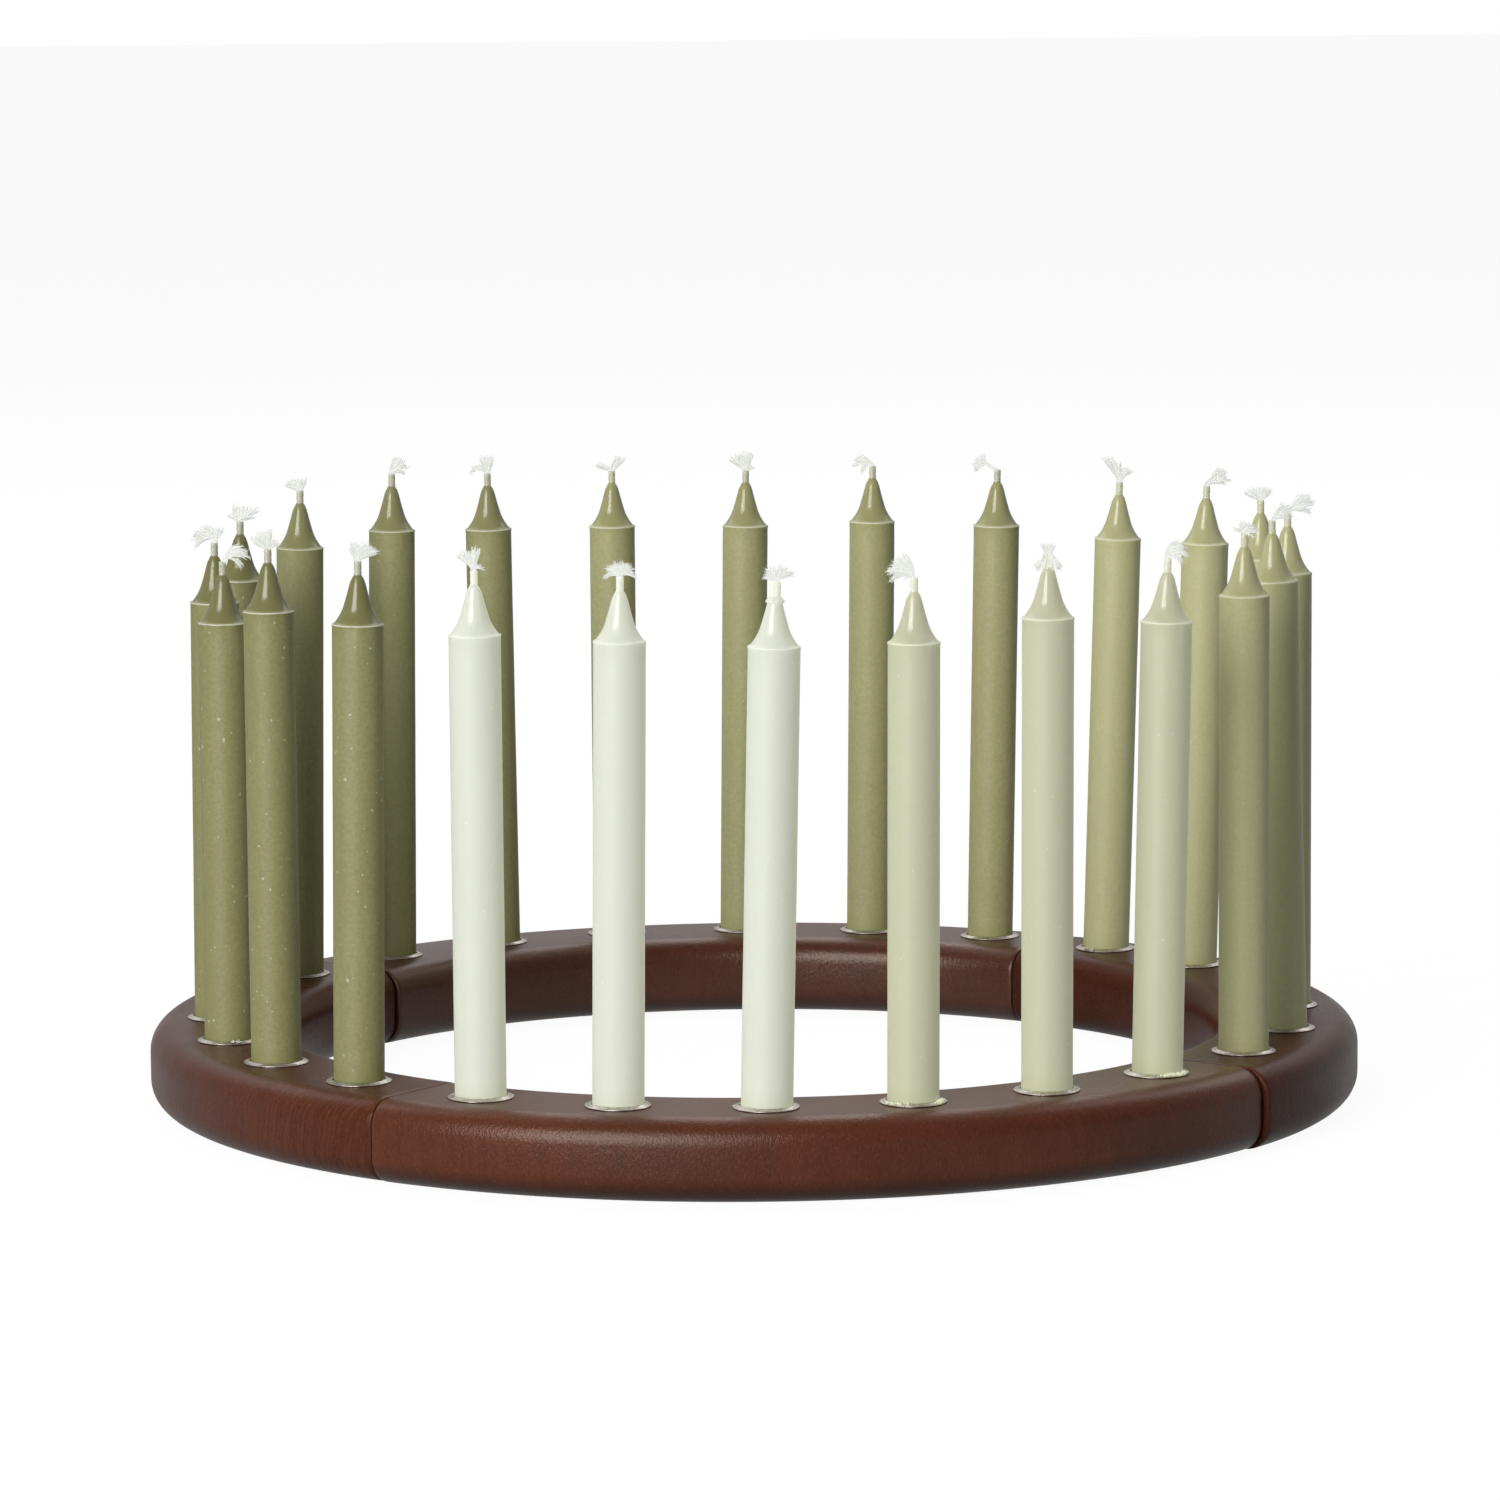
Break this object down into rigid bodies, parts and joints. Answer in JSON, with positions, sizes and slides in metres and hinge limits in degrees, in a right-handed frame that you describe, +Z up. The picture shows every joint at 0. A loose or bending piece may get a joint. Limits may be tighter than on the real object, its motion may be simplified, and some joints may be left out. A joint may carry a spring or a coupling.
{
  "type": "advent candle holder",
  "caption": "Low ring of dark stained wooden arcs with metal cups sunk in its top, each holding a slim candle in shades from near white to olive, with a hollowed cone tip.",
  "frame": {"origin": "middle of the ring on the surface that it stands on", "axes": "+Z up, -Y towards the viewer of the picture, +X to the picture's right"},
  "size_m": [0.3246, 0.3236, 0.164],
  "materials": {
    "stained_beech": "dark brown stained beech, satin oiled",
    "cup_metal": "pressed sheet metal, pale silver, satin",
    "wax_1": "solid dyed candle wax, matt with a soft sheen",
    "wax_2": "solid dyed candle wax, matt with a soft sheen",
    "wax_3": "solid dyed candle wax, matt with a soft sheen",
    "wax_4": "solid dyed candle wax, matt with a soft sheen",
    "wax_5": "solid dyed candle wax, matt with a soft sheen",
    "wax_6": "solid dyed candle wax, matt with a soft sheen",
    "cotton": "white braided cotton wick, frayed at its end"
  },
  "bodies": {
    "front_arc": {"ring_arc_front": "stained_beech", "cups_front": "cup_metal"},
    "right_arc": {"ring_arc_right": "stained_beech", "cups_right": "cup_metal"},
    "back_arc": {"ring_arc_back": "stained_beech", "cups_back": "cup_metal"},
    "left_arc": {"ring_arc_left": "stained_beech", "cups_left": "cup_metal"},
    "front_candle_1": {"candle_front_1": "wax_1", "wick_front_1": "cotton"},
    "front_candle_2": {"candle_front_2": "wax_1", "wick_front_2": "cotton"},
    "front_candle_3": {"candle_front_3": "wax_1", "wick_front_3": "cotton"},
    "front_candle_4": {"candle_front_4": "wax_2", "wick_front_4": "cotton"},
    "front_candle_5": {"candle_front_5": "wax_2", "wick_front_5": "cotton"},
    "front_candle_6": {"candle_front_6": "wax_2", "wick_front_6": "cotton"},
    "right_candle_1": {"candle_right_1": "wax_3", "wick_right_1": "cotton"},
    "right_candle_2": {"candle_right_2": "wax_3", "wick_right_2": "cotton"},
    "right_candle_3": {"candle_right_3": "wax_3", "wick_right_3": "cotton"},
    "right_candle_4": {"candle_right_4": "wax_3", "wick_right_4": "cotton"},
    "right_candle_5": {"candle_right_5": "wax_3", "wick_right_5": "cotton"},
    "right_candle_6": {"candle_right_6": "wax_3", "wick_right_6": "cotton"},
    "back_candle_1": {"candle_back_1": "wax_4", "wick_back_1": "cotton"},
    "back_candle_2": {"candle_back_2": "wax_4", "wick_back_2": "cotton"},
    "back_candle_3": {"candle_back_3": "wax_4", "wick_back_3": "cotton"},
    "back_candle_4": {"candle_back_4": "wax_4", "wick_back_4": "cotton"},
    "back_candle_5": {"candle_back_5": "wax_5", "wick_back_5": "cotton"},
    "back_candle_6": {"candle_back_6": "wax_5", "wick_back_6": "cotton"},
    "left_candle_1": {"candle_left_1": "wax_5", "wick_left_1": "cotton"},
    "left_candle_2": {"candle_left_2": "wax_6", "wick_left_2": "cotton"},
    "left_candle_3": {"candle_left_3": "wax_6", "wick_left_3": "cotton"},
    "left_candle_4": {"candle_left_4": "wax_6", "wick_left_4": "cotton"},
    "left_candle_5": {"candle_left_5": "wax_6", "wick_left_5": "cotton"},
    "left_candle_6": {"candle_left_6": "wax_6", "wick_left_6": "cotton"}
  },
  "joints": [
    {"name": "right_arc_pull", "type": "slide", "parent": "front_arc", "child": "right_arc", "axis": [0.9882, 0.153, 0], "range_m": [0, 0.06]},
    {"name": "back_arc_pull", "type": "slide", "parent": "front_arc", "child": "back_arc", "axis": [-0.153, 0.9882, 0], "range_m": [0, 0.06]},
    {"name": "left_arc_pull", "type": "slide", "parent": "front_arc", "child": "left_arc", "axis": [-0.9882, -0.153, 0], "range_m": [0, 0.06]},
    {"name": "front_candle_1_lift", "type": "slide", "parent": "front_arc", "child": "front_candle_1", "axis": [0, 0, 1], "range_m": [0, 0.03]},
    {"name": "front_candle_2_lift", "type": "slide", "parent": "front_arc", "child": "front_candle_2", "axis": [0.0131, 0, 0.9999], "range_m": [0, 0.03]},
    {"name": "front_candle_3_lift", "type": "slide", "parent": "front_arc", "child": "front_candle_3", "axis": [0.0234, 0, 0.9997], "range_m": [0, 0.03]},
    {"name": "front_candle_4_lift", "type": "slide", "parent": "front_arc", "child": "front_candle_4", "axis": [0.0062, 0, 1], "range_m": [0, 0.03]},
    {"name": "front_candle_5_lift", "type": "slide", "parent": "front_arc", "child": "front_candle_5", "axis": [0.0047, 0, 1], "range_m": [0, 0.03]},
    {"name": "front_candle_6_lift", "type": "slide", "parent": "front_arc", "child": "front_candle_6", "axis": [0.0203, 0, 0.9998], "range_m": [0, 0.03]},
    {"name": "right_candle_1_lift", "type": "slide", "parent": "right_arc", "child": "right_candle_1", "axis": [0, 0, 1], "range_m": [0, 0.03]},
    {"name": "right_candle_2_lift", "type": "slide", "parent": "right_arc", "child": "right_candle_2", "axis": [-0.0234, 0, 0.9997], "range_m": [0, 0.03]},
    {"name": "right_candle_3_lift", "type": "slide", "parent": "right_arc", "child": "right_candle_3", "axis": [0, 0, 1], "range_m": [0, 0.03]},
    {"name": "right_candle_4_lift", "type": "slide", "parent": "right_arc", "child": "right_candle_4", "axis": [0.0094, 0, 1], "range_m": [0, 0.03]},
    {"name": "right_candle_5_lift", "type": "slide", "parent": "right_arc", "child": "right_candle_5", "axis": [0.0266, 0, 0.9996], "range_m": [0, 0.03]},
    {"name": "right_candle_6_lift", "type": "slide", "parent": "right_arc", "child": "right_candle_6", "axis": [0.0297, 0, 0.9996], "range_m": [0, 0.03]},
    {"name": "back_candle_1_lift", "type": "slide", "parent": "back_arc", "child": "back_candle_1", "axis": [0.0187, 0, 0.9998], "range_m": [0, 0.03]},
    {"name": "back_candle_2_lift", "type": "slide", "parent": "back_arc", "child": "back_candle_2", "axis": [0.0125, 0, 0.9999], "range_m": [0, 0.03]},
    {"name": "back_candle_3_lift", "type": "slide", "parent": "back_arc", "child": "back_candle_3", "axis": [0.0141, 0, 0.9999], "range_m": [0, 0.03]},
    {"name": "back_candle_4_lift", "type": "slide", "parent": "back_arc", "child": "back_candle_4", "axis": [0, 0, 1], "range_m": [0, 0.03]},
    {"name": "back_candle_5_lift", "type": "slide", "parent": "back_arc", "child": "back_candle_5", "axis": [-0.0094, 0, 1], "range_m": [0, 0.03]},
    {"name": "back_candle_6_lift", "type": "slide", "parent": "back_arc", "child": "back_candle_6", "axis": [0.0109, 0, 0.9999], "range_m": [0, 0.03]},
    {"name": "left_candle_1_lift", "type": "slide", "parent": "left_arc", "child": "left_candle_1", "axis": [0.0156, 0, 0.9999], "range_m": [0, 0.03]},
    {"name": "left_candle_2_lift", "type": "slide", "parent": "left_arc", "child": "left_candle_2", "axis": [0.0094, 0, 1], "range_m": [0, 0.03]},
    {"name": "left_candle_3_lift", "type": "slide", "parent": "left_arc", "child": "left_candle_3", "axis": [0.0078, 0, 1], "range_m": [0, 0.03]},
    {"name": "left_candle_4_lift", "type": "slide", "parent": "left_arc", "child": "left_candle_4", "axis": [0.0031, 0, 1], "range_m": [0, 0.03]},
    {"name": "left_candle_5_lift", "type": "slide", "parent": "left_arc", "child": "left_candle_5", "axis": [0, 0, 1], "range_m": [0, 0.03]},
    {"name": "left_candle_6_lift", "type": "slide", "parent": "left_arc", "child": "left_candle_6", "axis": [0.0125, 0, 0.9999], "range_m": [0, 0.03]}
  ]
}
